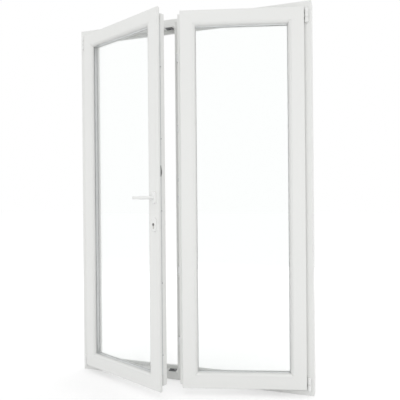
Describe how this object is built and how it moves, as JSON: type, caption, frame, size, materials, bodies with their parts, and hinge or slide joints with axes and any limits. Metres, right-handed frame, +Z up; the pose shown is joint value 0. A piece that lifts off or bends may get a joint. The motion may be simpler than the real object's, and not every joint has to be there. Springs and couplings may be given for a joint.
{
  "type": "double balcony door",
  "caption": "White plastic-framed double balcony door, glazed leaves hinged at both jambs, lever handle and key cylinder on one leaf and a floating mullion on the other.",
  "frame": {"origin": "middle of the sill's underside, at mid-length and mid-depth of the frame", "axes": "+X to the right seen from the room, +Y from the room to the outside, +Z up"},
  "size_m": [1.4, 0.3962, 2.1],
  "materials": {
    "white_pvc": "smooth white PVC-U, satin gloss",
    "white_cover": "moulded white plastic cover, satin",
    "grey_seal": "light grey synthetic rubber seal",
    "clear_glass": "clear float glass",
    "spacer_bar": "mill-finish aluminium spacer bar",
    "zinc_steel": "bright zinc-plated steel",
    "dark_keep": "dark die-cast zinc",
    "white_lever": "white powder-coated metal",
    "nickel": "nickel-plated brass"
  },
  "bodies": {
    "frame": {"frame_head": "white_pvc", "frame_sill": "white_pvc", "frame_left_jamb": "white_pvc", "frame_right_jamb": "white_pvc", "frame_seal": "grey_seal", "head_keep": "dark_keep", "sill_keep": "dark_keep", "drain_covers": "white_cover", "left_hinge_bearings": "white_cover", "right_hinge_bearings": "white_cover"},
    "left_leaf": {"left_leaf_hinge_stile": "white_pvc", "left_leaf_lock_stile": "white_pvc", "left_leaf_top_rail": "white_pvc", "left_leaf_bottom_rail": "white_pvc", "left_leaf_glazing_beads": "white_pvc", "left_leaf_panes": "clear_glass", "left_leaf_pane_spacer": "spacer_bar", "left_leaf_glazing_seals": "grey_seal", "left_leaf_seal": "grey_seal", "left_hinge_arms": "white_cover", "lock_faceplate": "zinc_steel", "lock_cams": "zinc_steel", "leaf_lifter": "dark_keep", "handle_rosette": "white_lever", "cylinder_escutcheon": "white_lever", "lock_cylinder": "nickel"},
    "handle": {"handle_lever": "white_lever", "handle_spindle": "zinc_steel"},
    "right_leaf": {"right_leaf_hinge_stile": "white_pvc", "right_leaf_meeting_stile": "white_pvc", "right_leaf_top_rail": "white_pvc", "right_leaf_bottom_rail": "white_pvc", "right_leaf_glazing_beads": "white_pvc", "right_leaf_panes": "clear_glass", "right_leaf_pane_spacer": "spacer_bar", "right_leaf_glazing_seals": "grey_seal", "right_leaf_seal": "grey_seal", "right_hinge_arms": "white_cover", "floating_mullion": "white_pvc", "mullion_end_caps": "white_cover", "mullion_keeps": "zinc_steel"}
  },
  "joints": [
    {"name": "left_leaf_hinge", "type": "hinge", "parent": "frame", "child": "left_leaf", "pos_m": [-0.6765, -0.047, 0], "axis": [0, 0, -1], "range_deg": [-23.5, 66.5]},
    {"name": "right_leaf_hinge", "type": "hinge", "parent": "frame", "child": "right_leaf", "pos_m": [0.6765, -0.047, 0], "axis": [0, 0, 1], "range_deg": [-14.9, 75.1]},
    {"name": "handle_turn", "type": "hinge", "parent": "left_leaf", "child": "handle", "pos_m": [-0.09231, -0.30973, 1.061], "axis": [0.3987, 0.9171, 0], "range_deg": [-90, 0]}
  ]
}
